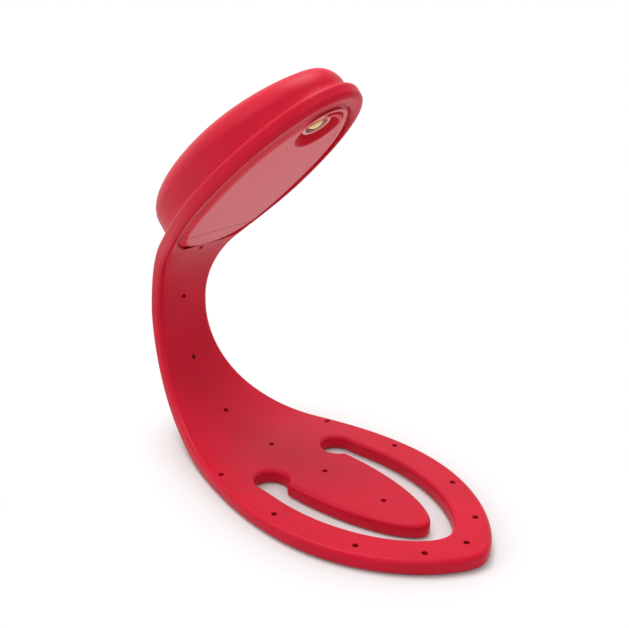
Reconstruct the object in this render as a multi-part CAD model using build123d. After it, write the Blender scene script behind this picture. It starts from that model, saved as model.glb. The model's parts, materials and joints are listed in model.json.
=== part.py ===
from build123d import *
import math
import os

# Book light: a flat soft clip with a page tongue, a neck that bends and keeps its shape, and a
# lamp head with two coin cells. It is drawn as it stands in use. X runs along it towards the
# clip's tip, Y across it and Z up from the table. Sizes are in millimetres.

# Strap: a soft sleeve moulded over a thin metal core
STRAP_T = 3.6          # sleeve thickness in the clip and the neck
EDGE_R = 1.2           # rounding of the sleeve's long edges
SLOT_EDGE_R = 1.0      # rounding of the edges round the clip's slot
CORE_T = 0.8           # metal core thickness in the neck and the head
PLATE_T = 1.2          # metal plate in the clip and the tongue
CORE_W = 6.0           # metal core width in the neck
CORE_COVER = 1.7       # soft rim beside the core in the clip
CORE_STEP = 0.1        # core above the panel in the head
PIN_HOLE_D = 1.3       # holes left by the mould pins that hold the core
PIN_PITCH = 17.1       # from one pin hole to the next along the strap
FIRST_PIN = 26.4       # first pin hole on the middle line, from the clip's tip
PIN_COUNT = 7

# Middle line of the strap, from the clip's tip to the head's tip
CLIP_RUN = 62.8        # flat stretch of the clip
LOWER_R = 34.45        # bend where the neck leaves the clip
LOWER_TURN = 29.3
UPPER_R = 26.85        # bend up to the head
UPPER_TURN = 107.25
HEAD_L = 59.5          # flat underside of the head

# Half widths of the strap and where they lie on the middle line
CLIP_HALF_W = 23.45
NECK_HALF_W = 7.8
HEAD_HALF_W = 16.2
CLIP_WIDEST = 37.2
WAIST_START = 107.0
WAIST_END = 110.0
HEAD_WIDEST = 154.5

# Each rounded end is one curve: how far it rises straight across at the end, and how far
# from the end its shoulder lies, before it runs out level at the widest place
CLIP_NOSE = (5.7, 13.2)
SLOT_TIP = 9.15        # the slot in the clip, from the clip's tip
SLOT_NOSE = (5.4, 11.5)
SLOT_WIDEST = 39.0
SLOT_HALF_W = 15.5
TONGUE_TIP = 14.3      # the tongue, from the clip's tip
TONGUE_NOSE = (3.7, 11.1)
TONGUE_WIDEST = 44.0
TONGUE_HALF_W = 9.8
TONGUE_HINGE = 49.6    # line where the tongue starts
BULB_R = 3.75          # round ends of the slot, beside the tongue's root
BULB_Y = 11.1
# Pin holes in the ring: from the clip's tip, and off centre as a share of the half width
RING_PINS = [(4.7, 0.0), (8.6, 0.38), (20.1, 0.716), (39.5, 0.87), (58.9, 0.759)]

# Bending joints: half-round ends in half-round seats, halfway between the pin holes
NECK_JOINTS = 8
JOINT_GAP = 0.05       # radial clearance of an end in its seat
MOUTH_SPARE = 5.0      # degrees a seat's mouth is wider than the largest travel
SEAT_SPARE = 0.05      # millimetres left under the switch's plunger at its limit
TONGUE_LIFT = 25.0     # degrees
TONGUE_DROP = 15.0

# Head: soft rim and back in one, with a stiff underside panel let into the rim
RIM_T = 3.6
RIM_EDGE_R = 1.2
BACK_ROOM = 3.2        # room over the board, under the crown
CROWN_R = 160.0        # lengthways crown of the back
CROWN_TIP = 39.5       # where the back is highest, to the head's tip
BACK_EDGE_R = 5.5
BACK_WALL = 1.2
HEAD_NOSE = (9.1, 13.7)
BACK_START = -3.6      # the raised back, from the head's start
BACK_HEEL = (10.8, 11.5)
BACK_WIDEST = 25.0
BACK_HALF_W = 14.8
BACK_NOSE = (6.9, 10.5)
BACK_TIP = 1.8         # back's end to the head's tip
PANEL_DEPTH = 0.9      # how far the panel's edge lies below the rim
PANEL_RISE = 1.2       # the panel's face stands out from its edge
PANEL_BEVELS = [(0.5, 1.0), (0.9, 2.0), (1.0, 3.4)]   # share of the rise, and how far inside the edge
PANEL_T = 1.2
PANEL_FIT = 0.1
PANEL_LEDGE = 1.2      # rim that carries the panel
PANEL_SEAM = 7.2       # seam between the fixed heel and the battery cover
SEAM_GAP = 0.2
PANEL_START = -1.4     # the panel, from the head's start
PANEL_HEEL = (11.4, 10.7)
PANEL_WIDEST = 27.0
PANEL_HALF_W = 14.3
PANEL_NOSE = (3.4, 6.3)
PANEL_TIP = 3.4        # panel's end to the head's tip
CAVITY_START = 3.4     # space under the back, from the head's start
CAVITY_HEEL = (9.0, 9.0)
CAVITY_NOSE = (5.0, 8.0)
CAVITY_EDGE_R = 3.2
TIP_LEDGE = 2.2        # rim that carries the panel at the tip
TRAY_FIT = 0.1

# Lamp in its bowl
LAMP_TIP = 7.85        # lamp centre to the panel's end
BOWL_L = 12.6
BOWL_W = 10.5
BOWL_FLOOR_L = 8.6
BOWL_FLOOR_W = 7.8
BOWL_DEPTH = 2.4
BOWL_WALL = 0.8
LED_D = 5.0
LED_FLANGE_D = 5.9
LED_FLANGE_T = 1.0
LED_FRONT = 0.4        # lens top below the underside
PHOSPHOR_D = 3.5
PHOSPHOR_T = 0.8
PHOSPHOR_DEPTH = 0.9   # below the lens top
HOLDER_D = 6.4
HOLDER_WALL = 0.6
HOLDER_FRONT = 0.7
HOLDER_FIT = 0.2
LEAD_D = 0.5
LEAD_PITCH = 2.54
LEAD_END = 0.1         # lead ends above the board

# Power
CELL_D = 20.0
CELL_T = 3.2
CELL_COUNT = 2
CELL_U = 22.0
CELL_FIT = 0.2
CELL_BASE = 2.3        # underside to the first cell
CELL_STEP = 0.4        # raised face of a cell
CELL_FACE_D = 17.6
CONTACT_T = 0.2
CONTACT_W = 4.0
CONTACT_L = 14.0
CONTACT_FIT = 0.2
BOARD_T = 0.6
BOARD_START = 10.0
BOARD_TIP = 6.7        # board's end to the panel's end
BOARD_MARGIN = 2.2     # board edge inside the cavity's edge
SCREW_D = 1.5
SCREW_HEAD_D = 3.0
SCREW_HEAD_T = 0.6
SCREW_L = 4.0
SCREW_SLOT = 0.4
SCREW_FIT = 0.1
SCREW_U = 37.0
SCREW_V = 7.5
RESISTOR_U = 41.0
RESISTOR = (1.25, 2.0, 0.5)

# Button on the crown
BUTTON_D = 12.0
BUTTON_FIT = 0.15
BUTTON_FLANGE_D = 14.0
BUTTON_FLANGE_T = 0.3
BUTTON_TRAVEL = 0.35
SWITCH_L = 4.6
SWITCH_T = 1.0
PLUNGER_D = 2.4
PLUNGER_FIT = 0.1
PLUNGER_RISE = 1.3     # plunger above the switch's body
PLUNGER_DEPTH = 0.4    # plunger inside the switch's body
BUTTON_EDGE_R = 0.5

# Places that follow from the sizes
reach_back = (CLIP_RUN + LOWER_R * math.sin(math.radians(LOWER_TURN))
              + UPPER_R * (1 - math.sin(math.radians(LOWER_TURN))) + STRAP_T / 2)
x_tip = reach_back / 2
lower_end = CLIP_RUN + LOWER_R * math.radians(LOWER_TURN)
upper_end = lower_end + UPPER_R * math.radians(UPPER_TURN)
joints = [FIRST_PIN + PIN_PITCH * (2.25 + 0.5 * i) for i in range(NECK_JOINTS)]
board_base = CELL_BASE + CELL_COUNT * CELL_T + CONTACT_T
board_top = board_base + BOARD_T
back_h = board_top + BACK_ROOM + BACK_WALL
panel_top = PANEL_DEPTH + PANEL_T
panel_face = PANEL_DEPTH - PANEL_RISE
crown_u = HEAD_L - CROWN_TIP
panel_end = HEAD_L - PANEL_TIP
lamp_u = panel_end - LAMP_TIP
board_end = panel_end - BOARD_TIP
x_hinge = x_tip - TONGUE_HINGE
long = 4 * CLIP_HALF_W


def along(m):
    """Middle line at m from the clip's tip: x, z and the turn in degrees from straight back."""
    x, z, turn = x_tip - min(m, CLIP_RUN), STRAP_T / 2, 0.0
    for start, radius, sweep in ((CLIP_RUN, LOWER_R, LOWER_TURN), (lower_end, UPPER_R, UPPER_TURN)):
        step = min(max(math.degrees((m - start) / radius), 0.0), sweep)
        a, b = math.radians(turn), math.radians(turn + step)
        x -= radius * (math.sin(b) - math.sin(a))
        z += radius * (math.cos(a) - math.cos(b))
        turn += step
    rest = max(m - upper_end, 0.0)
    x -= rest * math.cos(math.radians(turn))
    z += rest * math.sin(math.radians(turn))
    return x, z, turn


def ease(value, start, end, low, high):
    """Half a cosine wave from low at start to high at end."""
    share = min(max((value - start) / (end - start), 0.0), 1.0)
    return low + (high - low) * (1 - math.cos(math.pi * share)) / 2


def half_width(m):
    """Half width of the strap between the clip's and the head's widest places."""
    if m < WAIST_START:
        return ease(m, CLIP_WIDEST, WAIST_START, CLIP_HALF_W, NECK_HALF_W)
    return ease(m, WAIST_END, HEAD_WIDEST, NECK_HALF_W, HEAD_HALF_W)


def across(m):
    """Plane square to the strap at m, with its x along Y and its y towards the back face."""
    x, z, turn = along(m)
    heading = Vector(-math.cos(math.radians(turn)), 0, math.sin(math.radians(turn)))
    return Plane(origin=(x, 0, z), x_dir=(0, 1, 0), z_dir=heading)


def lengthways(m):
    """Plane along the strap at m, with its x towards the head and its y towards the inner face."""
    x, z, turn = along(m)
    heading = Vector(-math.cos(math.radians(turn)), 0, math.sin(math.radians(turn)))
    return Plane(origin=(x, 0, z), x_dir=heading, z_dir=(0, 1, 0))


def section(m):
    return across(m) * RectangleRounded(2 * half_width(m), STRAP_T, EDGE_R)


def sleeve(start, end, first=None, last=None):
    """Soft strap from start to end. A face handed in takes the place of an end section."""
    return loft([first or section(start), section((start + end) / 2), last or section(end)])


def strip(start, end):
    """Length of the metal core."""
    return loft([across(m) * Rectangle(CORE_W, CORE_T) for m in (start, (start + end) / 2, end)])


def half_round(plane, half_w, edge_r):
    """Half-round end that stands out of a plane, with the strap's rounded section turned round."""
    outline = RectangleRounded(2 * half_w, STRAP_T, edge_r)
    upper = outline & Pos(0, STRAP_T / 2) * Rectangle(long, STRAP_T)
    return plane.location * revolve(upper, Axis.X, 180)


def barrel(m):
    return half_round(across(m), half_width(m), EDGE_R)


def seat(origin_plane, half_w):
    """Cutter for the seat of a half-round end. Its mouth stands open on both faces for the travel."""
    cutter = extrude(Circle(STRAP_T / 2 + JOINT_GAP), half_w + 1, both=True)
    deep = STRAP_T
    lean = deep * math.tan(math.radians(max(TONGUE_LIFT, TONGUE_DROP) + MOUTH_SPARE))
    mouth = Polyline((0, 0), (lean, deep), (-EDGE_R, deep), (-EDGE_R, -deep), (lean, -deep), close=True)
    return origin_plane.location * (cutter + extrude(make_face(mouth), half_w + 1, both=True))


def neck_seat(i):
    return seat(lengthways(joints[i]), half_width(joints[i]) + EDGE_R)


def pin_holes(first, last):
    """Drills for the pin holes on the middle line between two places."""
    spots = [FIRST_PIN + PIN_PITCH * i for i in range(PIN_COUNT)]
    drill = Rot(90, 0, 0) * Cylinder(PIN_HOLE_D / 2, 2 * STRAP_T)
    return [across(m).location * drill for m in spots if first < m < last]


def core_start(m):
    """Where a core piece may start behind the seat of the joint at m."""
    return m + STRAP_T / 2 + JOINT_GAP + CORE_T


def nose(end, shape, widest, half_w):
    """One side of a rounded end, from the middle line out to the widest place."""
    rise, shoulder = shape
    inward = math.copysign(shoulder, widest - end)
    return Bezier((end, 0), (end, rise), (end + inward, half_w), (widest, half_w))


def mirrored(*sides):
    """Face between lines on one side of the middle and their mirror images."""
    return make_face([*sides, *[mirror(side, Plane.XZ) for side in sides]])


def egg(start, heel, widest, half_w, tip, end):
    """Closed outline with a rounded heel and a rounded tip."""
    return mirrored(nose(start, heel, widest, half_w), nose(end, tip, widest, half_w))


def cross_line(x, half_w):
    return Line((x, half_w), (x, 0))


def clip_plate(grow=0.0):
    """Outline of the clip from its tip to the end of the flat stretch."""
    widest = (x_tip - CLIP_WIDEST, CLIP_HALF_W + grow)
    middle = (CLIP_WIDEST + CLIP_RUN) / 2
    end = (x_tip - CLIP_RUN, half_width(CLIP_RUN) + grow)
    slope = half_width(CLIP_RUN + 1) - half_width(CLIP_RUN)
    between = (x_tip - middle, half_width(middle) + grow)
    flank = Spline([widest, between, end], tangents=[(-1, 0), (-1, slope)])
    return mirrored(nose(x_tip + grow, CLIP_NOSE, *widest), flank, cross_line(*end))


def slot_plate(grow=0.0):
    """Opening of the clip: everything that isn't ring, with the round ends of the slot."""
    widest = (x_tip - SLOT_WIDEST, SLOT_HALF_W + grow)
    root = (x_hinge - grow, BULB_Y + BULB_R + grow)
    flank = Spline([widest, root], tangents=[(-1, 0), (-1, 0)])
    opening = mirrored(nose(x_tip - SLOT_TIP + grow, SLOT_NOSE, *widest), flank, cross_line(*root))
    return opening + bulbs(grow)


def bulbs(grow=0.0):
    return [Pos(x_hinge, side * BULB_Y) * Circle(BULB_R + grow) for side in (1, -1)]


def tongue_plate(grow=0.0):
    """Outline of the tongue, before the slot's round ends are cut from it."""
    widest = (x_tip - TONGUE_WIDEST, TONGUE_HALF_W + grow)
    root = (x_hinge, TONGUE_HALF_W + grow)
    flank = Line(widest, root)
    return mirrored(nose(x_tip - TONGUE_TIP + grow, TONGUE_NOSE, *widest), flank, cross_line(*root))


def flat_rims(solid, keep):
    """Edges of the plate's two faces that the keep rule picks."""
    level = [e for e in solid.edges() if e.bounding_box().size.Z < 0.001]
    return [e for e in level if keep(e)]


def clip_sleeve():
    """Ring of the clip with the root of the neck and of the tongue."""
    plate = extrude(clip_plate(), STRAP_T)
    plate = fillet(flat_rims(plate, lambda e: e.geom_type != GeomType.LINE), EDGE_R)
    neck_face = plate.faces().sort_by(Axis.X)[0]
    plate -= extrude(slot_plate(), STRAP_T)
    inner = flat_rims(plate, lambda e: e.geom_type == GeomType.CIRCLE or abs(e.center().Y) < 0.001)
    plate = fillet([e for e in inner if e.geom_type != GeomType.LINE], SLOT_EDGE_R)
    hinge_face = Plane(origin=(x_hinge, 0, STRAP_T / 2), x_dir=(0, 1, 0), z_dir=(1, 0, 0))
    plate += half_round(hinge_face, BULB_Y - BULB_R, SLOT_EDGE_R)
    plate += sleeve(CLIP_RUN, joints[0], first=neck_face)
    plate += barrel(joints[0])
    drill = Cylinder(PIN_HOLE_D / 2, 4 * STRAP_T)
    spots = [(x_tip - m, side * share * CLIP_HALF_W, 0) for m, share in RING_PINS for side in (1, -1)]
    plate -= [Pos(spot) * drill for spot in spots]
    plate -= pin_holes(TONGUE_HINGE, joints[0])
    return plate - clip_core()


def clip_core():
    """Flat metal ring in the clip, with a tail into the root of the neck."""
    ring = clip_plate(-CORE_COVER) - slot_plate(CORE_COVER)
    ring = Pos(0, 0, (STRAP_T - PLATE_T) / 2) * extrude(ring, PLATE_T)
    return ring + strip(CLIP_RUN, joints[0])


def tongue_sleeve():
    plate = extrude(tongue_plate(), STRAP_T)
    plate = fillet(flat_rims(plate, lambda e: e.center().X > x_hinge + 0.1), SLOT_EDGE_R)
    plate -= [extrude(bulb, STRAP_T) for bulb in bulbs()]
    hinge_plane = Plane(origin=(x_hinge, 0, STRAP_T / 2), x_dir=(1, 0, 0), z_dir=(0, -1, 0))
    plate -= seat(hinge_plane, BULB_Y)
    plate -= pin_holes(TONGUE_TIP, TONGUE_HINGE)
    return plate - tongue_core()


def tongue_core():
    face = tongue_plate(-CORE_COVER) - bulbs(CORE_COVER)
    behind = x_hinge + STRAP_T / 2 + CORE_COVER
    face &= Pos(behind + long / 2, 0) * Rectangle(long, long)
    return Pos(0, 0, (STRAP_T - PLATE_T) / 2) * extrude(face, PLATE_T)


def neck_core(i):
    return strip(core_start(joints[i]), joints[i + 1])


def neck_sleeve(i):
    """Neck piece i, from the seat at joint i to its own half-round end at the next joint."""
    piece = sleeve(joints[i], joints[i + 1]) + barrel(joints[i + 1])
    piece -= neck_seat(i)
    piece -= pin_holes(joints[i], joints[i + 1])
    return piece - neck_core(i)


# Head pieces are drawn in the head's own place: x along its underside, z towards its back
def head_plane():
    start = lengthways(upper_end)
    inner = start.origin + start.y_dir * STRAP_T / 2
    return Plane(origin=inner, x_dir=start.x_dir, z_dir=-start.y_dir)


def rim_outline():
    widest = HEAD_WIDEST - upper_end
    stations = [(widest * i / 4, half_width(upper_end + widest * i / 4)) for i in range(5)]
    slope = half_width(upper_end + 1) - half_width(upper_end)
    flank = Spline(stations, tangents=[(1, slope), (1, 0)])
    return mirrored(cross_line(*stations[0]), flank, nose(HEAD_L, HEAD_NOSE, widest, HEAD_HALF_W))


def back_outline():
    return egg(BACK_START, BACK_HEEL, BACK_WIDEST, BACK_HALF_W, BACK_NOSE, HEAD_L - BACK_TIP)


def panel_outline(grow=0.0):
    half_w = PANEL_HALF_W + grow
    return egg(PANEL_START - grow, PANEL_HEEL, PANEL_WIDEST, half_w, PANEL_NOSE, panel_end + grow)


def pillow(outline, base, top, edge_r):
    """Block over an outline with a lengthways crown and a rounded upper edge."""
    block = Pos(0, 0, base) * extrude(outline, top - base)
    crown_r = CROWN_R - (back_h - top)
    block &= Pos(crown_u, 0, top - crown_r) * Rot(90, 0, 0) * Cylinder(crown_r, long)
    upper = block.faces().sort_by(Axis.Z)[-1]
    return fillet(upper.edges(), edge_r)


def inside(fit):
    """Space under the back, drawn in by fit all round."""
    half_w = PANEL_HALF_W - PANEL_LEDGE - fit
    end = panel_end - TIP_LEDGE - fit
    outline = egg(CAVITY_START + fit, CAVITY_HEEL, PANEL_WIDEST, half_w, CAVITY_NOSE, end)
    return pillow(outline, panel_top, back_h - BACK_WALL - fit, CAVITY_EDGE_R - fit)


def bowl(grow, deeper=0.0):
    """Cone of the lamp's bowl, grown sideways and downwards."""
    mouth = Ellipse(BOWL_L / 2 + grow, BOWL_W / 2 + grow)
    floor = Ellipse(BOWL_FLOOR_L / 2 + grow, BOWL_FLOOR_W / 2 + grow)
    return Pos(lamp_u, 0, panel_face) * loft([mouth, Pos(0, 0, BOWL_DEPTH + deeper) * floor])


def disc(radius, low, high, u, v=0.0):
    """Upright round solid in the head between two heights."""
    return Pos(u, v, (low + high) / 2) * Cylinder(radius, high - low)


def head_cover():
    """Soft rim, back and neck end of the head in one piece."""
    slab = extrude(rim_outline(), RIM_T)
    slab = fillet(flat_rims(slab, lambda e: e.geom_type != GeomType.LINE), RIM_EDGE_R)
    neck_face = head_place * slab.faces().sort_by(Axis.X)[0]
    slab += pillow(back_outline(), RIM_T / 2, back_h, BACK_EDGE_R)
    slab -= inside(0)
    slab -= extrude(panel_outline(PANEL_FIT), panel_top)
    slab -= disc(BUTTON_D / 2 + BUTTON_FIT, back_h - 2 * BACK_WALL, back_h + BACK_WALL, crown_u)
    slab -= bowl(BOWL_WALL + TRAY_FIT, BOWL_WALL + TRAY_FIT)
    cover = head_place * slab
    cover += sleeve(joints[-1], upper_end, last=neck_face)
    cover -= neck_seat(NECK_JOINTS - 1)
    cover -= head_place * extrude(panel_outline(PANEL_FIT), panel_top)
    cover -= pin_holes(joints[-1], upper_end)
    return cover - head_place * head_core()


def head_core():
    """End of the metal core, stepped over the panel's heel to the tray."""
    low = (STRAP_T - CORE_T) / 2
    high = panel_top + CORE_STEP
    start = core_start(joints[-1]) - upper_end
    step = PANEL_START - CORE_T
    end = CAVITY_START + CORE_W
    shape = Polyline((start, low), (step, low), (step, high), (end, high), (end, high + CORE_T),
                     (step - CORE_T, high + CORE_T), (step - CORE_T, low + CORE_T), (start, low + CORE_T),
                     close=True)
    return extrude(Plane.XZ * make_face(shape), CORE_W / 2, both=True)


def panel_plate():
    """Underside panel with a face that swells out of its edge."""
    plate = Pos(0, 0, PANEL_DEPTH) * extrude(panel_outline(), PANEL_T)
    bevels = [(0.0, 0.0), *PANEL_BEVELS]
    rings = [Pos(0, 0, PANEL_DEPTH - share * PANEL_RISE) * panel_outline(-inset) for share, inset in bevels]
    return plate + loft(rings)


def panel_heel():
    """Fixed end of the underside panel, next to the neck."""
    return panel_plate() & Pos(PANEL_SEAM - long / 2, 0, 0) * Box(long, long, long)


def battery_cover():
    """Rest of the panel, which lifts off. It carries the lamp's bowl."""
    start = PANEL_SEAM + SEAM_GAP
    cover = panel_plate() & Pos(start + long / 2, 0, 0) * Box(long, long, long)
    cover += bowl(BOWL_WALL, BOWL_WALL)
    cover -= bowl(0)
    return cover - disc(HOLDER_D / 2 + HOLDER_FIT, 0, back_h, lamp_u)


def tray():
    """Stiff chassis in the back, with a well for the cells and a bore for the lamp."""
    body = inside(TRAY_FIT) & Box(4 * HEAD_L, long, 2 * board_base)
    body -= disc(CELL_D / 2 + CELL_FIT, 0, back_h, CELL_U)
    body -= disc(HOLDER_D / 2 + HOLDER_FIT, 0, back_h, lamp_u)
    body -= bowl(BOWL_WALL + TRAY_FIT, BOWL_WALL + TRAY_FIT)
    body -= [disc(SCREW_D / 2, board_base - SCREW_L, back_h, SCREW_U, v) for v in (-SCREW_V, SCREW_V)]
    core_l = CORE_W + 2 * TRAY_FIT
    core_top = panel_top + CORE_STEP + CORE_T + TRAY_FIT
    body -= Pos(CAVITY_START + core_l / 2, 0, 0) * Box(core_l, CORE_W + 2 * TRAY_FIT, 2 * core_top)
    channel = 2 * CONTACT_T + 2 * CONTACT_FIT + CELL_FIT
    well = CELL_U - CELL_D / 2
    return body - Pos(well, 0, 0) * Box(2 * channel, CONTACT_W + 2 * CONTACT_FIT, 4 * back_h)


def board():
    half_w = PANEL_HALF_W - PANEL_LEDGE - BOARD_MARGIN
    plate = extrude(egg(BOARD_START, CAVITY_HEEL, PANEL_WIDEST, half_w, CAVITY_NOSE, board_end), BOARD_T)
    plate = Pos(0, 0, board_base) * plate
    plate -= [disc(SCREW_D / 2 + SCREW_FIT, 0, back_h, SCREW_U, v) for v in (-SCREW_V, SCREW_V)]
    return plate - lamp_leads()


def board_screws():
    """Two slotted screws that hold the board on the tray."""
    screw = disc(SCREW_D / 2, board_base - SCREW_L, board_top, SCREW_U)
    screw += disc(SCREW_HEAD_D / 2, board_top, board_top + SCREW_HEAD_T, SCREW_U)
    screw -= Pos(SCREW_U, 0, board_top + SCREW_HEAD_T) * Box(SCREW_HEAD_D, SCREW_SLOT, SCREW_HEAD_T)
    return Compound([Pos(0, v, 0) * screw for v in (-SCREW_V, SCREW_V)])


def coin_cell(level):
    """Cell with its stepped face towards the board. Level 0 lies next to the cover."""
    base = CELL_BASE + level * CELL_T
    can = disc(CELL_D / 2, base, base + CELL_T - CELL_STEP, CELL_U)
    can = fillet(can.edges(), CELL_STEP)
    return can + disc(CELL_FACE_D / 2, base + CELL_T - 2 * CELL_STEP, base + CELL_T, CELL_U)


def contact_negative():
    """Flat contact under the board, on the upper cell's face."""
    leaf = extrude(SlotOverall(CONTACT_L, CONTACT_W), CONTACT_T)
    return Pos(CELL_U, 0, board_base - CONTACT_T) * leaf


def contact_positive():
    """Strip bent down from the board to the lower cell's can."""
    side = CELL_U - CELL_D / 2
    tall = board_base - CELL_BASE - CELL_T / 2
    strip = Pos(side - CONTACT_T / 2, 0, board_base - tall / 2) * Box(CONTACT_T, CONTACT_W, tall)
    foot = Pos(side - CONTACT_T, 0, board_base - CONTACT_T / 2) * Box(2 * CONTACT_T, CONTACT_W, CONTACT_T)
    return strip + foot


def lamp_leads():
    start = LED_FRONT + PHOSPHOR_DEPTH + PHOSPHOR_T
    end = board_top + LEAD_END
    return Compound([disc(LEAD_D / 2, start, end, lamp_u, v) for v in (-LEAD_PITCH / 2, LEAD_PITCH / 2)])


def phosphor():
    start = LED_FRONT + PHOSPHOR_DEPTH
    return disc(PHOSPHOR_D / 2, start, start + PHOSPHOR_T, lamp_u)


def lens():
    """Clear round lamp body with a domed front and a flange on the board."""
    dome_centre = LED_FRONT + LED_D / 2
    body = disc(LED_D / 2, dome_centre, board_base, lamp_u)
    body += Pos(lamp_u, 0, dome_centre) * Sphere(LED_D / 2)
    body += disc(LED_FLANGE_D / 2, board_base - LED_FLANGE_T, board_base, lamp_u)
    return body - phosphor() - lamp_leads()


def lamp_holder():
    """Collar round the lamp, which shows as a ring in the bowl."""
    end = board_base - LED_FLANGE_T
    collar = disc(HOLDER_D / 2, HOLDER_FRONT, end, lamp_u)
    return collar - disc(HOLDER_D / 2 - HOLDER_WALL, 0, back_h, lamp_u)


def resistor():
    return Pos(RESISTOR_U, 0, board_top + RESISTOR[2] / 2) * Box(*RESISTOR)


def switch_body():
    block = Pos(crown_u, 0, board_top + SWITCH_T / 2) * Box(SWITCH_L, SWITCH_L, SWITCH_T)
    bottom = plunger_base - BUTTON_TRAVEL - SEAT_SPARE
    return block - disc(PLUNGER_D / 2 + PLUNGER_FIT, bottom, back_h, crown_u)


def plunger():
    return disc(PLUNGER_D / 2, plunger_base, plunger_top, crown_u)


def power_button():
    """Round soft cap in the crown, with a flange under the back's skin."""
    cap = disc(BUTTON_D / 2, plunger_top, back_h + CROWN_R, crown_u)
    cap &= Pos(crown_u, 0, back_h - CROWN_R) * Rot(90, 0, 0) * Cylinder(CROWN_R, long)
    cap = fillet(cap.faces().sort_by(Axis.Z)[-1].edges(), BUTTON_EDGE_R)
    return cap + disc(BUTTON_FLANGE_D / 2, plunger_top, plunger_top + BUTTON_FLANGE_T, crown_u)


head_place = head_plane().location
plunger_base = board_top + SWITCH_T - PLUNGER_DEPTH
plunger_top = board_top + SWITCH_T + PLUNGER_RISE

head_pieces = {
    "head_core": head_core(),
    "panel_heel": panel_heel(),
    "battery_cover": battery_cover(),
    "tray": tray(),
    "circuit_board": board(),
    "board_screws": board_screws(),
    "coin_cell_1": coin_cell(0),
    "coin_cell_2": coin_cell(1),
    "contact_negative": contact_negative(),
    "contact_positive": contact_positive(),
    "led_lens": lens(),
    "led_phosphor": phosphor(),
    "led_leads": lamp_leads(),
    "led_holder": lamp_holder(),
    "resistor": resistor(),
    "switch_body": switch_body(),
    "switch_plunger": plunger(),
    "power_button": power_button(),
}
pieces = {name: head_place * solid for name, solid in head_pieces.items()}
pieces["clip_ring"] = clip_sleeve()
pieces["clip_core"] = clip_core()
pieces["tongue"] = tongue_sleeve()
pieces["tongue_core"] = tongue_core()
pieces["head_cover"] = head_cover()
for i in range(NECK_JOINTS - 1):
    pieces[f"neck_sleeve_{i + 1}"] = neck_sleeve(i)
    pieces[f"neck_core_{i + 1}"] = neck_core(i)

os.makedirs("parts", exist_ok=True)
for name, piece in pieces.items():
    export_step(Compound(piece.solids()), f"parts/{name}.step")
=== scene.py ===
# %% [markdown]
# # A soft book light
# The real thing is one red strap of soft rubber, moulded over a thin strip of metal. One end is a
# flat clip with a tongue for the page. The other end is a head with a lamp and two coin cells.
# The solids arrive as a fixed frame. Hard pieces keep their meshes and get a finish. Skins take the
# place of the soft pieces: the clip's and the head cover's are cut copies of their solids, and the
# neck's and the tongue's are new meshes, drawn flat and laid along the strap's bends.

# %% Load the frame
import json
import math
import bmesh
import bpy
from mathutils import Matrix, Vector

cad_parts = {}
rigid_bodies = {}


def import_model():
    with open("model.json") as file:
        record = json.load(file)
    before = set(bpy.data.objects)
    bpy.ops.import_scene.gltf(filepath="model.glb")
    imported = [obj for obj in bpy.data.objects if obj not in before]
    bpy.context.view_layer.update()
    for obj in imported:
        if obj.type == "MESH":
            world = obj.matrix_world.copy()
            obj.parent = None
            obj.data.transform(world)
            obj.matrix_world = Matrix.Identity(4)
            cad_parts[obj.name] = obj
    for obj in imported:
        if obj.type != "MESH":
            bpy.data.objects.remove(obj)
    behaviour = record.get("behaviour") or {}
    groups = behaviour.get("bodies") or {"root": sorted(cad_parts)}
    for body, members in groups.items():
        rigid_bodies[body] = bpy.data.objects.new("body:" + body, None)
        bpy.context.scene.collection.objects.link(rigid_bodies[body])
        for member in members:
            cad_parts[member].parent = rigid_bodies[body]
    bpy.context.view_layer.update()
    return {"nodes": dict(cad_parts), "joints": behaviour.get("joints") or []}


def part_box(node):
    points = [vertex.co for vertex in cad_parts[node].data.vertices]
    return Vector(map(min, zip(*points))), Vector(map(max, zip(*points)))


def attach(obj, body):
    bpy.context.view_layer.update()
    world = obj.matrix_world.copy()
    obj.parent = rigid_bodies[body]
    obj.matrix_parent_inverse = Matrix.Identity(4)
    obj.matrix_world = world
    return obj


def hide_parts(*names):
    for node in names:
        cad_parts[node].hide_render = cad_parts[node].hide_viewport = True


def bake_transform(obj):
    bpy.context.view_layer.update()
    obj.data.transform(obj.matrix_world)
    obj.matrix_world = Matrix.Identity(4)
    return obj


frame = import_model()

nodes = frame["nodes"]

# %% [markdown]
# ## The sizes of the strap
# A skin has to lie exactly where the solid lies, so the strap's own sizes are repeated here in
# millimetres: a flat stretch in the clip, two bends and a straight head, with pin holes at an even
# pitch. The clip's tip, the tongue's hinge and the bodies that a joint joins come from the frame.

# %% Strap sizes
MM = 0.001
STRAP_T = 3.6
EDGE_R = 1.2
PIN_HOLE_D = 1.3
PIN_PITCH = 17.1
FIRST_PIN = 26.4
PIN_COUNT = 7
CLIP_RUN = 62.8
LOWER_R, LOWER_TURN = 34.45, math.radians(29.3)
UPPER_R, UPPER_TURN = 26.85, math.radians(107.25)
NECK_JOINTS = 8
lower_end = CLIP_RUN + LOWER_R * LOWER_TURN
upper_end = lower_end + UPPER_R * UPPER_TURN
x_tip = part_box("clip_ring")[1].x / MM
joints = {j["name"]: j for j in frame["joints"]}
neck_bends = [joints[f"neck_bend_{i}"] for i in range(1, NECK_JOINTS + 1)]
print("strap runs", round(upper_end, 2), "mm to the head, tip at", round(x_tip, 2))

# %% [markdown]
# ## Node trees written as sums
# A material or a Geometry Nodes tree is easier to read as arithmetic than as a web of wires.
# `Wire` holds one socket of a node. Adding or multiplying wires adds Math nodes behind the scenes.
# `Graph` makes every other kind of node: first its settings, then its sockets.

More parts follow.
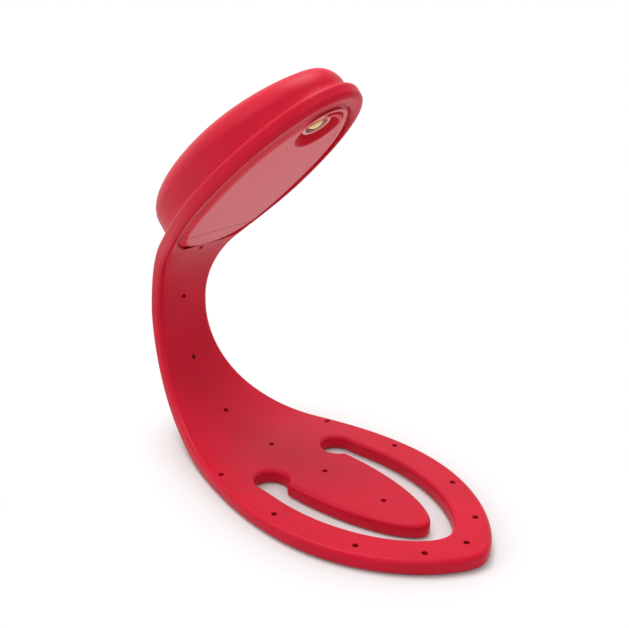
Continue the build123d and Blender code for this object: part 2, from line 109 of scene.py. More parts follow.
# %% Wire and Graph
class Wire:
    def __init__(self, graph, socket):
        self.graph = graph
        self.socket = socket

    def math(self, operation, *others):
        node = self.graph.tree.nodes.new("ShaderNodeMath")
        node.operation = operation
        for place, value in enumerate((self, *others)):
            self.graph.plug(node.inputs[place], value)
        return Wire(self.graph, node.outputs[0])

    def __add__(self, other):
        return self.math("ADD", other)

    def __sub__(self, other):
        return self.math("SUBTRACT", other)

    def __mul__(self, other):
        return self.math("MULTIPLY", other)

    def __truediv__(self, other):
        return self.math("DIVIDE", other)

    def __rsub__(self, other):
        return (self * -1.0).math("ADD", other)

    __radd__ = __add__
    __rmul__ = __mul__

    def limit(self, low, high):
        """The value, kept between low and high."""
        return self.math("MAXIMUM", low).math("MINIMUM", high)

    def ramp(self, low, high):
        """0 below low, 1 above high, with soft ends."""
        share = ((self - low) / (high - low)).limit(0.0, 1.0)
        return share * share * (3.0 - 2.0 * share)


class Graph:
    def __init__(self, tree):
        self.tree = tree
        tree.nodes.clear()

    def plug(self, socket, value):
        if isinstance(value, Wire):
            self.tree.links.new(value.socket, socket)
        else:
            socket.default_value = value

    def add(self, kind, settings=None, sockets=None, out=0):
        """Makes a node and returns the wire of one of its outputs."""
        node = self.tree.nodes.new(kind)
        for name, value in (settings or {}).items():
            setattr(node, name, value)
        for name, value in (sockets or {}).items():
            self.plug(node.inputs[name], value)
        if not node.outputs:
            return node
        return Wire(self, node.outputs[out])

    def split(self, vector):
        node = self.tree.nodes.new("ShaderNodeSeparateXYZ")
        self.plug(node.inputs[0], vector)
        return [Wire(self, socket) for socket in node.outputs]

    def join(self, x, y, z):
        return self.add("ShaderNodeCombineXYZ", None, {0: x, 1: y, 2: z})


print("node helpers ready")

# %% [markdown]
# ## Colours and a base for finishes
# Colours are written as they look on a screen and turned into the linear values that a renderer
# adds up. Every finish here is a Principled shader whose colour and roughness vary a little with
# the place on the piece, so nothing looks like flat paint.

# %% Colour and finish helpers
WHITE = (1.0, 1.0, 1.0, 1.0)


def linear(red, green, blue):
    """Screen colour from 0 to 255 as linear light, with full opacity."""
    parts = []
    for value in (red, green, blue):
        value = value / 255
        parts.append(value / 12.92 if value <= 0.04045 else ((value + 0.055) / 1.055) ** 2.4)
    return (*parts, 1.0)


def finish(name):
    """New material: its graph, and the place on the piece in millimetres."""
    material = bpy.data.materials.new(name)
    material.use_nodes = True
    graph = Graph(material.node_tree)
    place = graph.add("ShaderNodeTexCoord", out="Object")
    place = graph.add("ShaderNodeVectorMath", {"operation": "SCALE"}, {0: place, "Scale": 1 / MM})
    return material, graph, place


def noise(graph, place, scale, detail=3.0):
    sockets = {"Vector": place, "Scale": scale, "Detail": detail}
    return graph.add("ShaderNodeTexNoise", None, sockets)


def blend_colours(graph, share, first, second):
    """Colour from first to second. A Mix node's colours are its sockets 6 and 7, and output 2."""
    sockets = {0: share, 6: first, 7: second}
    return graph.add("ShaderNodeMix", {"data_type": "RGBA"}, sockets, out=2)


def bumps(graph, height, distance, strength):
    """Normal for small bumps. Distance is their height in metres."""
    sockets = {"Height": height, "Distance": distance, "Strength": strength}
    return graph.add("ShaderNodeBump", None, sockets)


def principled(graph, **sockets):
    """Principled shader. An underscore stands for the space in a socket's name."""
    named = {key.replace("_", " "): value for key, value in sockets.items()}
    return graph.add("ShaderNodeBsdfPrincipled", None, named)


def surface(material, graph, **sockets):
    graph.add("ShaderNodeOutputMaterial", None, {"Surface": principled(graph, **sockets)})
    return material


def two_surfaces(material, graph, share, first, second):
    """Finish that goes over from the first shader to the second."""
    mixed = graph.add("ShaderNodeMixShader", None, {0: share, 1: first, 2: second})
    graph.add("ShaderNodeOutputMaterial", None, {"Surface": mixed})
    return material


print("screen grey 128 is", round(linear(128, 128, 128)[0], 3), "in linear light")

# %% [markdown]
# ## Soft rubber
# Silicone has a deep even colour, a satin face from the blasted mould, and a faint bloom of dust.
# The bloom is a slow noise in the roughness. The mould's texture is a very fine bump.

# %% Soft rubber
RUBBER_REDS = linear(186, 0, 36), linear(194, 2, 41)


def soft_rubber():
    material, graph, place = finish("soft_rubber")
    cloud = noise(graph, place, 0.09)
    grain = noise(graph, place, 6.0, 2.0)
    colour = blend_colours(graph, cloud.ramp(0.3, 0.7), *RUBBER_REDS)
    return surface(material, graph, Base_Color=colour, Roughness=0.36 + cloud * 0.10,
                   Specular_IOR_Level=0.18, Normal=bumps(graph, grain, 0.00001, 0.5))


rubber = soft_rubber()
print("made", rubber.name, [round(part, 3) for part in RUBBER_REDS[0]])

# %% [markdown]
# ## The head's underside
# The panel is a hard satin plastic in the same red. Seen at a low angle it mirrors the white table,
# which makes it look pale, and part of that paleness is painted into its colour as a painted sheen.
# The bowl round the lamp is the plastic's own deep red, kept darker than the face as painted shade
# in its recess, and has no such sheen. Its mouth is an oval round the lamp's axis, so the place
# measured along and across the head, as a share of that oval, tells bowl from panel.

# %% Panel finish
lamp_low, lamp_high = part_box("led_phosphor")
lamp_place = (lamp_low + lamp_high) / 2 / MM
head_out = Vector(joints["battery_cover_lift"]["axis"]).normalized()
head_along = Vector((0, 1, 0)).cross(head_out)
BOWL_L, BOWL_W = 12.6, 10.5
BOWL_SHADE_FADE = (0.96, 1.0)
# The panel's reds are paler than the rubber's: partly the plastic's own tone, partly a painted
# sheen of the white table.
PANEL_REDS_WITH_PAINTED_SHEEN = linear(198, 44, 60), linear(206, 52, 68)
# The bowl's red is the plastic's own deep red, kept darker than the panel face as painted shade in
# the recess.
BOWL_RED_WITH_PAINTED_SHADE = linear(196, 0, 30)


def from_lamp(graph, place, along=1.0, across=1.0):
    """Distance from the lamp's axis, with each direction measured in its own unit."""
    away = graph.add("ShaderNodeVectorMath", {"operation": "SUBTRACT"}, {0: place, 1: lamp_place})
    forward = graph.add("ShaderNodeVectorMath", {"operation": "DOT_PRODUCT"},
                        {0: away, 1: head_along}, out="Value")
    u = forward / along
    v = graph.split(away)[1] / across
    return (u * u + v * v).math("SQRT")


def panel_plastic():
    material, graph, place = finish("panel_plastic")
    cloud = noise(graph, place, 0.15)
    grain = noise(graph, place, 9.0, 2.0)
    # Share of the bowl, which gets the deeper red of painted shade instead of the paler face with
    # its painted sheen.
    bowl_shade = 1.0 - from_lamp(graph, place, BOWL_L / 2, BOWL_W / 2).ramp(*BOWL_SHADE_FADE)
    small = bumps(graph, grain, 0.000012, 0.6)
    # The face's colour carries a painted sheen, standing in for the table mirrored at a low angle.
    red = blend_colours(graph, cloud, *PANEL_REDS_WITH_PAINTED_SHEEN)
    face = principled(graph, Base_Color=red, Roughness=0.36 + cloud * 0.08, Normal=small)
    shaded_bowl = principled(graph, Base_Color=BOWL_RED_WITH_PAINTED_SHADE, Roughness=0.30 + cloud * 0.08,
                      Specular_IOR_Level=0.12, Normal=small)
    return two_surfaces(material, graph, bowl_shade, face, shaded_bowl)


panel = panel_plastic()
print("made", panel.name, "with the lamp at", [round(v, 2) for v in lamp_place])

# %% [markdown]
# ## Finishes of the small parts
# The lamp is clear plastic over a yellow phosphor disc, held in a pale pink collar. Inside are
# rolled steel, brass, a lacquered board and black mouldings, which show when the cover is off.

# %% Metal and moulded finishes
SCRATCH_ALONG = 0.2
YELLOW_FADE = (1.7, 1.95)
PHOSPHOR_R = 1.9


def metal(name, colour, roughness, scratch):
    """Metal with fine scratches that run along Y and catch the light."""
    material, graph, place = finish(name)
    x, y, z = graph.split(place)
    lines = noise(graph, graph.join(x * scratch, y * SCRATCH_ALONG, z * scratch), 4.0)
    return surface(material, graph, Base_Color=colour, Metallic=1.0,
                   Roughness=roughness + lines * 0.12, Normal=bumps(graph, lines, 0.000006, 0.4))


def moulded(name, low, high, roughness):
    """Plain moulded plastic with a little unevenness."""
    material, graph, place = finish(name)
    cloud = noise(graph, place, 0.8)
    return surface(material, graph, Base_Color=blend_colours(graph, cloud, low, high),
                   Roughness=roughness + cloud * 0.08, Normal=bumps(graph, cloud, 0.00001, 0.4))


def clear_lens():
    """Clear plastic whose dome enlarges the phosphor, so that its middle is painted yellow."""
    material, graph, place = finish("clear_lens")
    haze = noise(graph, place, 1.5)
    middle = 1.0 - from_lamp(graph, place).ramp(*YELLOW_FADE)
    clear = principled(graph, Base_Color=WHITE, Roughness=0.03 + haze * 0.03,
                       IOR=1.45, Transmission_Weight=1.0)
    colour = blend_colours(graph, haze, linear(226, 208, 132), linear(236, 222, 158))
    yellow = principled(graph, Base_Color=colour, Roughness=0.2 + haze * 0.1,
                        Specular_IOR_Level=0.3)
    return two_surfaces(material, graph, middle, clear, yellow)


def phosphor_disc():
    """Yellow phosphor, unlit, a little deeper in the middle."""
    material, graph, place = finish("phosphor")
    grain = noise(graph, place, 3.0)
    rim = from_lamp(graph, place, PHOSPHOR_R, PHOSPHOR_R).limit(0.0, 1.0)
    colour = blend_colours(graph, rim, linear(232, 214, 120), linear(238, 230, 176))
    return surface(material, graph, Base_Color=colour, Roughness=0.5 + grain * 0.2)


finishes = {
    "core": metal("core_steel", linear(176, 176, 180), 0.35, 3.0),
    "cell": metal("cell_steel", linear(206, 206, 204), 0.22, 1.0),
    "screw": metal("screw_steel", linear(150, 150, 152), 0.3, 2.0),
    "contact": metal("contact_brass", linear(212, 182, 116), 0.25, 2.0),
    "lead": metal("tinned_lead", linear(200, 200, 202), 0.2, 2.0),
    "tray": moulded("tray_plastic", linear(42, 42, 44), linear(52, 52, 54), 0.5),
    "board": moulded("board_lacquer", linear(20, 92, 50), linear(26, 106, 60), 0.3),
    "chip": moulded("black_moulding", linear(20, 20, 22), linear(30, 30, 32), 0.4),
    "plunger": moulded("pale_moulding", linear(222, 222, 214), linear(232, 232, 226), 0.35),
    "holder": moulded("lamp_collar", linear(214, 142, 146), linear(222, 156, 160), 0.3),
    "lens": clear_lens(),
    "phosphor": phosphor_disc(),
}
print("finishes", sorted(finishes))

# %% [markdown]
# ## Finishes on the hard pieces
# A hard piece already has the right shape, so its mesh is left alone and only its material slot
# is filled. Every node gets the rubber first, and those that aren't rubber then get their own.

# %% Dress the hard pieces
def dress(name, material):
    mesh = nodes[name].data
    mesh.materials.clear()
    mesh.materials.append(material)


for name in nodes:
    dress(name, rubber)
for name in ("panel_heel", "battery_cover"):
    dress(name, panel)
wearers = {
    "core": [n for n in nodes if "core" in n],
    "cell": ["coin_cell_1", "coin_cell_2"],
    "screw": ["board_screws"],
    "contact": ["contact_negative", "contact_positive"],
    "lead": ["led_leads"],
    "tray": ["tray"],
    "board": ["circuit_board"],
    "chip": ["resistor", "switch_body"],
    "plunger": ["switch_plunger"],
    "holder": ["led_holder"],
    "lens": ["led_lens"],
    "phosphor": ["led_phosphor"],
}
for key, names in wearers.items():
    for name in names:
        dress(name, finishes[key])
print("dressed", len(nodes), "nodes")

# %% [markdown]
# ## Soft skins from solids
# The clip's ring and the head's cover have the right shape, but their solids stop in half-round
# hinge ends that the real strap doesn't have. A copy of the mesh is welded, cut square where the
# bending skin takes over, and closed again. A weighted normal keeps the large flat faces flat
# while the round edges shade smoothly.

# %% Copy, cut and smooth a solid
SHARP = math.radians(40)
FLAT_FACE_WEIGHT = 90
SAME_POINT = 2e-7
ON_PLANE = 1e-7


def shaded(name, mesh, material):
    """Object for a finished skin at the origin, with smooth round edges and flat faces."""
    mesh.materials.clear()
    mesh.materials.append(material)
    mesh.shade_smooth()
    mesh.set_sharp_from_angle(angle=SHARP)
    rough = bpy.data.objects.new(name + "_rough", mesh)
    bpy.context.scene.collection.objects.link(rough)
    even = rough.modifiers.new("even", "WEIGHTED_NORMAL")
    even.keep_sharp = True
    even.weight = FLAT_FACE_WEIGHT
    view = rough.evaluated_get(bpy.context.evaluated_depsgraph_get())
    piece = bpy.data.objects.new(name, bpy.data.meshes.new_from_object(view))
    piece.data.name = name
    bpy.data.objects.remove(rough)
    bpy.context.scene.collection.objects.link(piece)
    return piece


def welded(name):
    """Editable copy of a node's mesh, whose loose triangles are joined at their corners."""
    work = bmesh.new()
    work.from_mesh(nodes[name].data)
    bmesh.ops.remove_doubles(work, verts=work.verts[:], dist=SAME_POINT)
    return work


def cut_off(work, point, direction, picks=lambda place: True):
    """Removes what lies beyond a plane, where the rule picks it, and closes the cut."""
    everything = work.verts[:] + work.edges[:] + work.faces[:]
    bmesh.ops.bisect_plane(work, geom=everything, plane_co=point, plane_no=direction,
                           dist=ON_PLANE)
    gone = []
    for face in work.faces:
        middle = face.calc_center_median()
        if (middle - point).dot(direction) > ON_PLANE and picks(middle):
            gone.append(face)
    bmesh.ops.delete(work, geom=gone, context="FACES")
    rims = [edge for edge in work.edges if edge.is_boundary]
    bmesh.ops.holes_fill(work, edges=rims, sides=0)
    print("cut", len(gone), "faces off, rim of", len(rims), "edges")


def as_mesh(work, name):
    mesh = bpy.data.meshes.new(name)
    work.to_mesh(mesh)
    work.free()
    return mesh


print("edges over", round(math.degrees(SHARP)), "degrees stay sharp")

# %% [markdown]
# ## The ring of the clip
# The ring is cut where the neck starts to bend and where the tongue starts to lift. The tongue's
# cut stays between the round ends of the slot.

# %% Clip
TONGUE_ROOT_HALF_W = 7.4
hinge = Vector(joints["tongue_flex"]["pos_m"])
neck_start = Vector(((x_tip - CLIP_RUN) * MM, 0, 0))
root_half_w = TONGUE_ROOT_HALF_W * MM
root_reach = STRAP_T * MM
clip_work = welded("clip_ring")
cut_off(clip_work, neck_start, Vector((-1, 0, 0)))
cut_off(clip_work, hinge, Vector((1, 0, 0)),
        lambda place: abs(place.y) < root_half_w and place.x < hinge.x + root_reach)
clip_skin = shaded("clip_skin", as_mesh(clip_work, "clip_skin"), rubber)
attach(clip_skin, "clip")
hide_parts("clip_ring")
print("clip skin faces", len(clip_skin.data.polygons))

# %% [markdown]
# ## A strap that follows its bends
# The neck and the tongue are drawn flat, as the strap would lie if it were pulled straight: along
# it, across it and through its thickness. A Geometry Nodes tree then punches the pin holes, which
# repeat at an even pitch, and lays the flat strap along two arcs. The solids follow the same rule,
# and its radii stay named inputs.

# %% The tree that bends a flat strap
PIN_SIDES = 24
STRAP_INPUTS = {
    "Tip": x_tip * MM,
    "Flat run": CLIP_RUN * MM,
    "Lower radius": LOWER_R * MM,
    "Lower turn": LOWER_TURN,
    "Upper radius": UPPER_R * MM,
    "Upper turn": UPPER_TURN,
    "Half thickness": STRAP_T / 2 * MM,
    "Pin hole radius": PIN_HOLE_D / 2 * MM,
    "First pin": FIRST_PIN * MM,
    "Pin pitch": PIN_PITCH * MM,
}


def with_pin_holes(graph, given, strap):
    """The flat strap with its row of pin holes cut through."""
    pin = graph.add("GeometryNodeMeshCylinder", None, {
        "Vertices": PIN_SIDES, "Radius": given["Pin hole radius"],
        "Depth": given["Half thickness"] * 4.0})
    first = graph.join(given["First pin"], 0.0, 0.0)
    step = graph.join(given["Pin pitch"], 0.0, 0.0)
    row = graph.add("GeometryNodeMeshLine", None,
                    {"Count": PIN_COUNT, "Start Location": first, "Offset": step})
    pins = graph.add("GeometryNodeInstanceOnPoints", None, {"Points": row, "Instance": pin})
    pins = graph.add("GeometryNodeRealizeInstances", None, {0: pins})
    return graph.add("GeometryNodeMeshBoolean", {"operation": "DIFFERENCE", "solver": "EXACT"},
                     {"Mesh 1": strap, "Mesh 2": pins})


def bent_place(graph, given):
    """Where a point of the flat strap comes to lie when the strap follows its two arcs."""
    run, side, height = graph.split(graph.add("GeometryNodeInputPosition"))
    flat_run, lower_r, upper_r = given["Flat run"], given["Lower radius"], given["Upper radius"]
    lower_full, upper_full = given["Lower turn"], given["Upper turn"]
    lower_stop = flat_run + lower_r * lower_full
    upper_stop = lower_stop + upper_r * upper_full
    lower = ((run - flat_run) / lower_r).limit(0.0, lower_full)
    upper = ((run - lower_stop) / upper_r).limit(0.0, upper_full)
    turn = lower + upper
    rest = (run - upper_stop).math("MAXIMUM", 0.0)
    sine, cosine = turn.math("SINE"), turn.math("COSINE")
    both = lower_full + upper
    behind = run.math("MINIMUM", flat_run) + lower_r * lower.math("SINE")
    behind = behind + upper_r * (both.math("SINE") - lower_full.math("SINE")) + rest * cosine
    rise = lower_r * (1.0 - lower.math("COSINE")) + rest * sine
    rise = rise + upper_r * (lower_full.math("COSINE") - both.math("COSINE"))
    x = given["Tip"] - behind + height * sine
    z = given["Half thickness"] + rise + height * cosine
    return graph.join(x, side, z)


def strap_tree(material):
    tree = bpy.data.node_groups.new("strap_bend", "GeometryNodeTree")
    tree.interface.new_socket("Geometry", in_out="INPUT", socket_type="NodeSocketGeometry")
    for name in STRAP_INPUTS:
        tree.interface.new_socket(name, in_out="INPUT", socket_type="NodeSocketFloat")
    tree.interface.new_socket("Geometry", in_out="OUTPUT", socket_type="NodeSocketGeometry")
    graph = Graph(tree)
    entry = tree.nodes.new("NodeGroupInput")
    given = {socket.name: Wire(graph, socket) for socket in entry.outputs if socket.name}
    strap = with_pin_holes(graph, given, given["Geometry"])
    place = bent_place(graph, given)
    strap = graph.add("GeometryNodeSetPosition", None, {"Geometry": strap, "Position": place})
    strap = graph.add("GeometryNodeSetMaterial", None, {"Geometry": strap, "Material": material})
    graph.add("NodeGroupOutput", None, {0: strap})
    return tree


strap_bend = strap_tree(rubber)
print("strap tree nodes", len(strap_bend.nodes))


# %% Laying a flat piece along the strap
def laid(name, flat):
    """Mesh of a flat piece after the strap tree."""
    rough = bpy.data.objects.new(name + "_flat", flat)
    bpy.context.scene.collection.objects.link(rough)
    tree = rough.modifiers.new("strap", "NODES")
    tree.node_group = strap_bend
    for item in strap_bend.interface.items_tree:
        if item.in_out == "INPUT" and item.name in STRAP_INPUTS:
            tree[item.identifier] = STRAP_INPUTS[item.name]
    view = rough.evaluated_get(bpy.context.evaluated_depsgraph_get())
    mesh = bpy.data.meshes.new_from_object(view)
    bpy.data.objects.remove(rough)
    return mesh


print("the strap tree takes", len(STRAP_INPUTS), "sizes")

# %% [markdown]
# ## Drawing a flat piece
# A flat piece is a row of cross-sections. Each one has a flat top and bottom and a rounded edge at
# both sides. At the tongue's tip the sections shrink to nothing and the points there are welded.

# %% Flat pieces from an outline
EDGE_STEPS = 6
TOP_COLUMNS = 10
TIP_WELD = 1e-6


def edge_points(run, side, normal, edge_r):
    """Rounded edge on one side, from the top face to the bottom face."""
    points = []
    straight = STRAP_T / 2 - edge_r
    for face in (1, -1):
        for step in range(EDGE_STEPS + 1):
            angle = math.pi / 2 * (step if face > 0 else EDGE_STEPS - step) / EDGE_STEPS
            inset = edge_r * (1 - math.sin(angle))
            across = max(side - normal[1] * inset, 0.0)
            height = face * (straight + edge_r * math.cos(angle))
            points.append((run - normal[0] * inset, across, height))
    return points


def flat_piece(outline, edge_r):
    """Closed mesh from stations in millimetres: run, half width and outward normal."""
    work = bmesh.new()
    rows = []
    for run, side, normal in outline:
        right = edge_points(run, side, normal, edge_r)
        left = [(a, -b, c) for a, b, c in reversed(right)]
        loop = []
        for start, end, edge in ((left[-1], right[0], right), (right[-1], left[0], left)):
            for column in range(1, TOP_COLUMNS):
                share = column / TOP_COLUMNS
                loop.append([a + (b - a) * share for a, b in zip(start, end)])
            loop.extend(edge)
        rows.append([work.verts.new([value * MM for value in point]) for point in loop])
    for near, far in zip(rows, rows[1:]):
        for i in range(len(near)):
            j = (i + 1) % len(near)
            work.faces.new((near[i], near[j], far[j], far[i]))
    work.faces.new(rows[0])
    work.faces.new(rows[-1])
    bmesh.ops.remove_doubles(work, verts=work.verts[:], dist=TIP_WELD)
    bmesh.ops.recalc_face_normals(work, faces=work.faces[:])
    return as_mesh(work, "flat")


print("a section has", 2 * (TOP_COLUMNS - 1) + 4 * (EDGE_STEPS + 1), "points")

# %% [markdown]
# ## The bent neck
# The neck is one skin on the real light. A skin here can bend between two bodies only, so it is
# made in eight lengths, one for each hinge, that meet where the strap doesn't bend. Two hinges lie
# between each pin hole and the next, a quarter of the pitch from the nearer hole. Every second seam
# would fall on a pin hole, so it is moved just past it.

# %% Widths of the neck
CLIP_HALF_W, NECK_HALF_W, HEAD_HALF_W = 23.45, 7.8, 16.2
CLIP_WIDEST, WAIST_START, WAIST_END, HEAD_WIDEST = 37.2, 107.0, 110.0, 154.5


def half_width(run):
    """Half the strap's width, eased from clip to waist and from waist to head."""
    if run < WAIST_START:
        share = (run - CLIP_WIDEST) / (WAIST_START - CLIP_WIDEST)
        low, high = CLIP_HALF_W, NECK_HALF_W
    else:
        share = (run - WAIST_END) / (HEAD_WIDEST - WAIST_END)
        low, high = NECK_HALF_W, HEAD_HALF_W
    share = min(max(share, 0.0), 1.0)
    return low + (high - low) * (1 - math.cos(math.pi * share)) / 2


def spot(run):
    """Point of the middle line at a run, in metres, and the way it heads there."""
    lower = min(max((run - CLIP_RUN) / LOWER_R, 0), LOWER_TURN)
    upper = min(max((run - lower_end) / UPPER_R, 0), UPPER_TURN)
    turn = lower + upper
    rest = max(run - upper_end, 0)
    x = x_tip - min(run, CLIP_RUN) - LOWER_R * math.sin(lower) - rest * math.cos(turn)
    x -= UPPER_R * (math.sin(LOWER_TURN + upper) - math.sin(LOWER_TURN))
    z = STRAP_T / 2 + LOWER_R * (1 - math.cos(lower)) + rest * math.sin(turn)
    z += UPPER_R * (math.cos(LOWER_TURN) - math.cos(LOWER_TURN + upper))
    return Vector((x, 0, z)) * MM, Vector((-math.cos(turn), 0, math.sin(turn)))


print("the neck is", 2 * half_width(WAIST_START), "mm wide at its waist")

# %% Neck skins
HINGE_PITCH = PIN_PITCH / 2
PITCHES_TO_HINGE = 2.25
FIRST_HINGE = FIRST_PIN + PITCHES_TO_HINGE * PIN_PITCH
BEND_HALF = 3.3
PAST_PIN = 1.0
HEAD_CUT = 126.8
NECK_STEPS = 22

hinge_runs = [FIRST_HINGE + HINGE_PITCH * i for i in range(NECK_JOINTS)]
seams = [CLIP_RUN]
for i in range(1, NECK_JOINTS):
    past = PAST_PIN if i % 2 == 0 else 0.0
    seams.append(hinge_runs[i] - HINGE_PITCH / 2 + past)
seams.append(HEAD_CUT)
for i, joint in enumerate(neck_bends):
    start, end = seams[i], seams[i + 1]
    stations = [start + (end - start) * k / NECK_STEPS for k in range(NECK_STEPS + 1)]
    outline = [(run, half_width(run), (0.0, 1.0)) for run in stations]
    neck_mesh = laid("neck", flat_piece(outline, EDGE_R))
    skin = shaded(f"neck_skin_{i + 1}", neck_mesh, rubber)
    bend_start = spot(max(hinge_runs[i] - BEND_HALF, start))[0]
    bend_end = spot(min(hinge_runs[i] + BEND_HALF, end))[0]
    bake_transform(skin)
    # The last length shows the end of the neck that is part of the head's cover
    if i < NECK_JOINTS - 1:
        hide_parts(f"neck_sleeve_{i + 1}")
    print(skin.name, len(skin.data.polygons), "faces,", joint["parent"], "to", joint["child"])

# %% [markdown]
# ## The tongue
# The tongue narrows at its root between two round ends of the slot, runs straight for a short
# way and then closes in one curve to its tip. It bends right behind its root.

# %% Outline of the tongue
HINGE_RUN, BULB_R, BULB_Y = 49.6, 3.75, 11.1
ROOT_R = 1.2
TONGUE_WIDEST, TONGUE_HALF_W = 44.0, 9.8
TONGUE_TIP, TONGUE_RISE, TONGUE_SHOULDER = 14.3, 3.7, 11.1
BULB_STEPS, ROOT_STEPS, SIDE_STEPS, NOSE_STEPS = 8, 6, 5, 56


def curve_point(share, points):
    """Point and heading of a cubic Bezier curve."""
    a, b, c, d = (Vector(p) for p in points)
    rest = 1 - share
    place = a * rest**3 + b * 3 * rest**2 * share + c * 3 * rest * share**2 + d * share**3
    heading = (b - a) * rest**2 + (c - b) * 2 * rest * share + (d - c) * share**2
    return place, heading.normalized()


def turned(angle):
    """Outward normal of a round corner, which points straight across at angle 0."""
    return math.sin(angle), math.cos(angle)


def tongue_outline():
    """Stations from the hinge, past the slot's round end and a rounded corner, to the tip."""
    stations = []
    bulb_end = math.acos((BULB_Y - TONGUE_HALF_W + ROOT_R) / (BULB_R + ROOT_R))
    for k in range(BULB_STEPS + 1):
        normal = turned(bulb_end * k / BULB_STEPS)
        stations.append((HINGE_RUN - BULB_R * normal[0], BULB_Y - BULB_R * normal[1], normal))
    last = HINGE_RUN - (BULB_R + ROOT_R) * math.sin(bulb_end)
    for k in range(1, ROOT_STEPS + 1):
        normal = turned(bulb_end * (1 - k / ROOT_STEPS))
        side = TONGUE_HALF_W - ROOT_R * (1 - normal[1])
        stations.append((last + ROOT_R * normal[0], side, normal))
    for k in range(1, SIDE_STEPS):
        run = last + (TONGUE_WIDEST - last) * k / SIDE_STEPS
        stations.append((run, TONGUE_HALF_W, (0.0, 1.0)))
    nose = ((TONGUE_WIDEST, TONGUE_HALF_W), (TONGUE_TIP + TONGUE_SHOULDER, TONGUE_HALF_W),
            (TONGUE_TIP, TONGUE_RISE), (TONGUE_TIP, 0.0))
    for k in range(NOSE_STEPS + 1):
        place, heading = curve_point(k / NOSE_STEPS, nose)
        stations.append((place.x, place.y, (heading.y, -heading.x)))
    return stations


print("the tongue has", len(tongue_outline()), "stations")

# %% Tongue skin
TONGUE_EDGE_R = 1.0
tongue_mesh = laid("tongue", flat_piece(tongue_outline(), TONGUE_EDGE_R))
tongue_skin = shaded("tongue_skin", tongue_mesh, rubber)
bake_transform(tongue_skin)
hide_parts("tongue")
print("tongue skin", len(tongue_skin.data.polygons), "faces")

# %% [markdown]
# ## The head's cover
# The cover is the soft rim, the raised back and the end of the neck in one. Its copy is cut on the
# neck side of the raised back, where the last neck skin ends.

# %% Head cover
head_work = welded("head_cover")
cut_point, cut_heading = spot(HEAD_CUT)
cut_off(head_work, cut_point, -cut_heading)
head_skin = shaded("head_skin", as_mesh(head_work, "head_skin"), rubber)
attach(head_skin, "head")
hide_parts("head_cover")
print("head skin faces", len(head_skin.data.polygons))

# %% [markdown]
# ## Floor, light and camera
# The light stands on a pale sheet with no horizon. Round the clip the sheet is plain paint that
# takes a soft shadow. Further out it turns into an even white glow, which lights nothing.

# %% Floor
FLOOR_SIZE = 3.0
FLOOR_DROP = 0.0001
PAINT = (0.70, 0.70, 0.70, 1.0)
SHADOW_REACH = (40.0, 78.0)


def seen_white(graph):
    """1 for rays that come from the camera, also by way of a mirror or clear plastic."""
    path = graph.tree.nodes.new("ShaderNodeLightPath")
    seen = 0.0
    for kind in ("Is Camera Ray", "Is Glossy Ray", "Is Transmission Ray"):
        seen = Wire(graph, path.outputs[kind]) + seen
    return seen.limit(0.0, 1.0)


def white_sheet():
    material, graph, place = finish("white_sheet")
    clip_low, clip_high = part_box("clip_ring")
    clip_middle = (clip_low + clip_high) / 2 / MM
    reach = graph.add("ShaderNodeVectorMath", {"operation": "DISTANCE"},
                      {0: place, 1: clip_middle}, out="Value")
    plain = graph.add("ShaderNodeBsdfDiffuse", None, {"Color": PAINT})
    glow = graph.add("ShaderNodeEmission", None, {"Color": WHITE, "Strength": 1.0})
    share = seen_white(graph) * reach.ramp(*SHADOW_REACH)
    return two_surfaces(material, graph, share, plain, glow)


bpy.ops.mesh.primitive_plane_add(size=FLOOR_SIZE, location=(0, 0, -FLOOR_DROP))
floor = bpy.context.object
floor.name = "floor"
floor.data.materials.append(white_sheet())
print("floor", FLOOR_SIZE, "m wide")

# %% [markdown]
# ## The room round it
# The photograph's studio is bright above and behind the object and dim on the side of the
# photographer. The light that the room gives follows that: it grows with height and towards the
# far side. The camera, mirrors and clear plastic see the room as plain white.

# %% Room
AZIMUTH, ELEVATION, ROLL = math.radians(41.96), math.radians(22.58), math.radians(1.782)
FAR_SIDE = (-math.sin(AZIMUTH), math.cos(AZIMUTH), 0.0)
ROOM_LOW, ROOM_ABOVE, ROOM_FAR = 0.30, 0.62, 0.30
ABOVE_SPAN, FAR_SPAN = (-0.05, 0.9), (-0.2, 1.0)
world = bpy.data.worlds.new("studio")
bpy.context.scene.world = world
world.use_nodes = True
sky = Graph(world.node_tree)
way = sky.add("ShaderNodeTexCoord", out="Generated")
height = sky.split(way)[2]
far = sky.add("ShaderNodeVectorMath", {"operation": "DOT_PRODUCT"},
              {0: way, 1: FAR_SIDE}, out="Value")
lit = ROOM_LOW + ROOM_ABOVE * height.ramp(*ABOVE_SPAN) + ROOM_FAR * far.ramp(*FAR_SPAN)
white = seen_white(sky)
strength = white + (1.0 - white) * lit
room = sky.add("ShaderNodeBackground", None, {"Color": WHITE, "Strength": strength})
sky.add("ShaderNodeOutputWorld", None, {"Surface": room})
print("room ready, with", len(world.node_tree.nodes), "nodes")

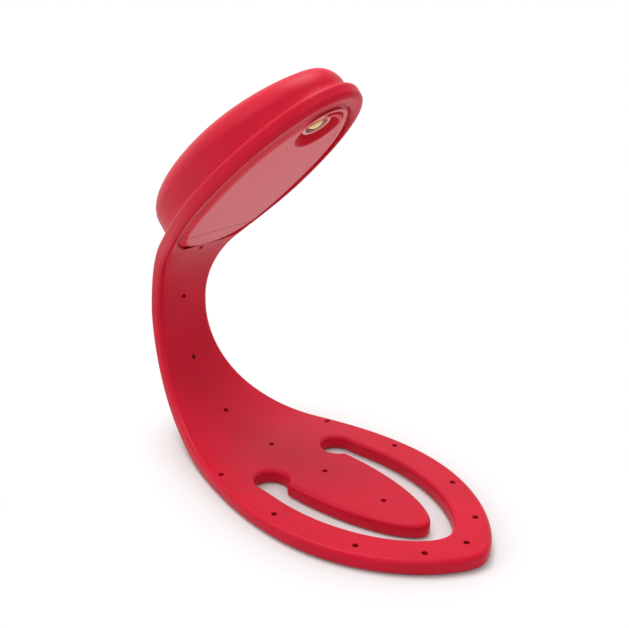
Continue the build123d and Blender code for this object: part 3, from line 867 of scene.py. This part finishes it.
# %% Lamps
LAMP_TARGET = Vector((0, 0, 0.04))
LAMPS = [
    # Name, place and width in metres, and watts
    ("top_lamp", Vector((-0.22, 0.0, 0.72)), 0.5, 3.9),
    ("side_lamp", Vector((-0.45, -0.55, 0.45)), 0.45, 1.0),
    ("front_lamp", Vector((0.50, -0.45, 0.50)), 0.45, 0.7),
]


def soft_lamp(name, place, size, watts):
    light = bpy.data.lights.new(name, "AREA")
    light.shape = "DISK"
    light.size = size
    light.energy = watts
    lamp = bpy.data.objects.new(name, light)
    bpy.context.scene.collection.objects.link(lamp)
    lamp.location = place
    lamp.rotation_euler = (LAMP_TARGET - place).to_track_quat("-Z", "Y").to_euler()


for name, place, size, watts in LAMPS:
    soft_lamp(name, place, size, watts)

# %% [markdown]
# ## The camera
# The camera's turn, height, roll and distance were fitted together with the strap's two arcs and
# the pitch of its pin holes, so that the outline falls where the photograph has it.

# %% Camera
PHOTO_WIDTH = 629
FOCAL_PIXELS = 1009.6
SENSOR_WIDTH = 36.0
NEAREST = 0.01
DISTANCE, SHIFT_RIGHT, SHIFT_UP = 229.3, -3.60, 35.75
AIM = Vector((4.235, 0.0, 3.4))
back = Vector((math.sin(AZIMUTH) * math.cos(ELEVATION), -math.cos(AZIMUTH) * math.cos(ELEVATION),
               math.sin(ELEVATION)))
right = Vector((math.cos(AZIMUTH), math.sin(AZIMUTH), 0))
up = back.cross(right)
place = AIM + back * DISTANCE + right * SHIFT_RIGHT + up * SHIFT_UP
rolled_right = right * math.cos(ROLL) + up * math.sin(ROLL)
rolled_up = up * math.cos(ROLL) - right * math.sin(ROLL)
camera_data = bpy.data.cameras.new("camera")
camera_data.sensor_width = SENSOR_WIDTH
camera_data.lens = SENSOR_WIDTH * FOCAL_PIXELS / PHOTO_WIDTH
camera_data.clip_start = NEAREST
camera = bpy.data.objects.new("camera", camera_data)
bpy.context.scene.collection.objects.link(camera)
turned_to_view = Matrix((rolled_right, rolled_up, back)).transposed().to_4x4()
camera.matrix_world = Matrix.Translation(place * MM) @ turned_to_view
bpy.context.scene.camera = camera
bpy.context.scene.view_settings.view_transform = "Standard"
print("camera", [round(v, 1) for v in place], "mm, lens", round(camera_data.lens, 1), "mm")
